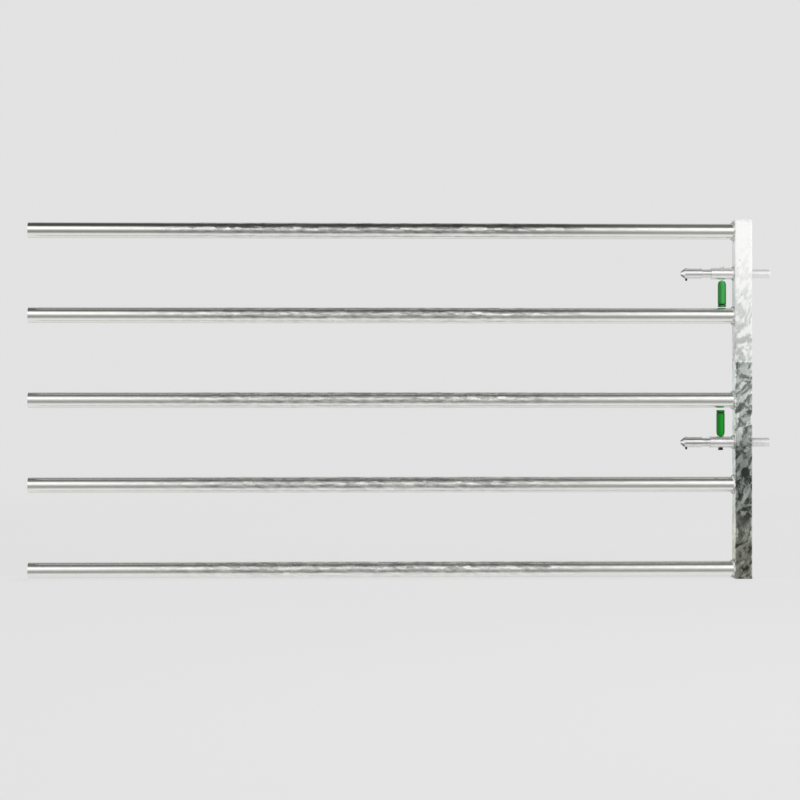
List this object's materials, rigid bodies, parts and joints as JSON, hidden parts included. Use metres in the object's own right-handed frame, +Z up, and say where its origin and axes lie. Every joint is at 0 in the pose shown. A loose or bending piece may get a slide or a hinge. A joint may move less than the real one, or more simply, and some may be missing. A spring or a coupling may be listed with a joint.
{
  "type": "cattle gate",
  "caption": "Sliding half of an extending cattle gate: round galvanised rails on one square upright, with hand-drawn bolts that have green plastic grips.",
  "frame": {"origin": "centre of the upright's foot, on the underside of its bottom cap", "axes": "+X from the upright out along the bolt noses, so the rails run towards -X; +Y towards the back of the gate; +Z up the upright"},
  "size_m": [2.1048, 0.05, 1.02],
  "materials": {
    "galvanised_steel": "hot-dip galvanised with an uneven spangle, bright on the rails and duller low on the upright",
    "weld_zinc": "zinc-coated weld bead, duller and rougher than the tube",
    "bright_zinc": "bright zinc plating: the bolts and collars, polished by sliding, and the upper stem",
    "black_steel": "blackened steel fasteners: the pins and the lower stem",
    "green_plastic": "moulded green plastic with a soft gloss"
  },
  "bodies": {
    "gate_frame": {"upright": "galvanised_steel", "top_cap": "galvanised_steel", "bottom_cap": "galvanised_steel", "rail_1": "galvanised_steel", "rail_2": "galvanised_steel", "rail_3": "galvanised_steel", "rail_4": "galvanised_steel", "rail_5": "galvanised_steel", "rail_weld_1": "weld_zinc", "rail_weld_2": "weld_zinc", "rail_weld_3": "weld_zinc", "rail_weld_4": "weld_zinc", "rail_weld_5": "weld_zinc", "upper_guide_sleeve": "galvanised_steel", "upper_sleeve_weld": "weld_zinc", "lower_guide_sleeve": "galvanised_steel", "lower_sleeve_weld": "weld_zinc"},
    "upper_bolt": {"upper_draw_bolt": "bright_zinc", "upper_pull_collar": "bright_zinc", "upper_collar_pin": "black_steel", "upper_handle_stem": "bright_zinc", "upper_handle_grip": "green_plastic", "upper_retaining_pin": "black_steel"},
    "lower_bolt": {"lower_draw_bolt": "bright_zinc", "lower_pull_collar": "bright_zinc", "lower_collar_pin": "black_steel", "lower_handle_stem": "black_steel", "lower_handle_grip": "green_plastic", "lower_retaining_pin": "black_steel"}
  },
  "joints": [
    {"name": "upper_bolt_slide", "type": "slide", "parent": "gate_frame", "child": "upper_bolt", "axis": [-1, 0, 0], "range_m": [0, 0.038]},
    {"name": "lower_bolt_slide", "type": "slide", "parent": "gate_frame", "child": "lower_bolt", "axis": [-1, 0, 0], "range_m": [0, 0.038]}
  ]
}
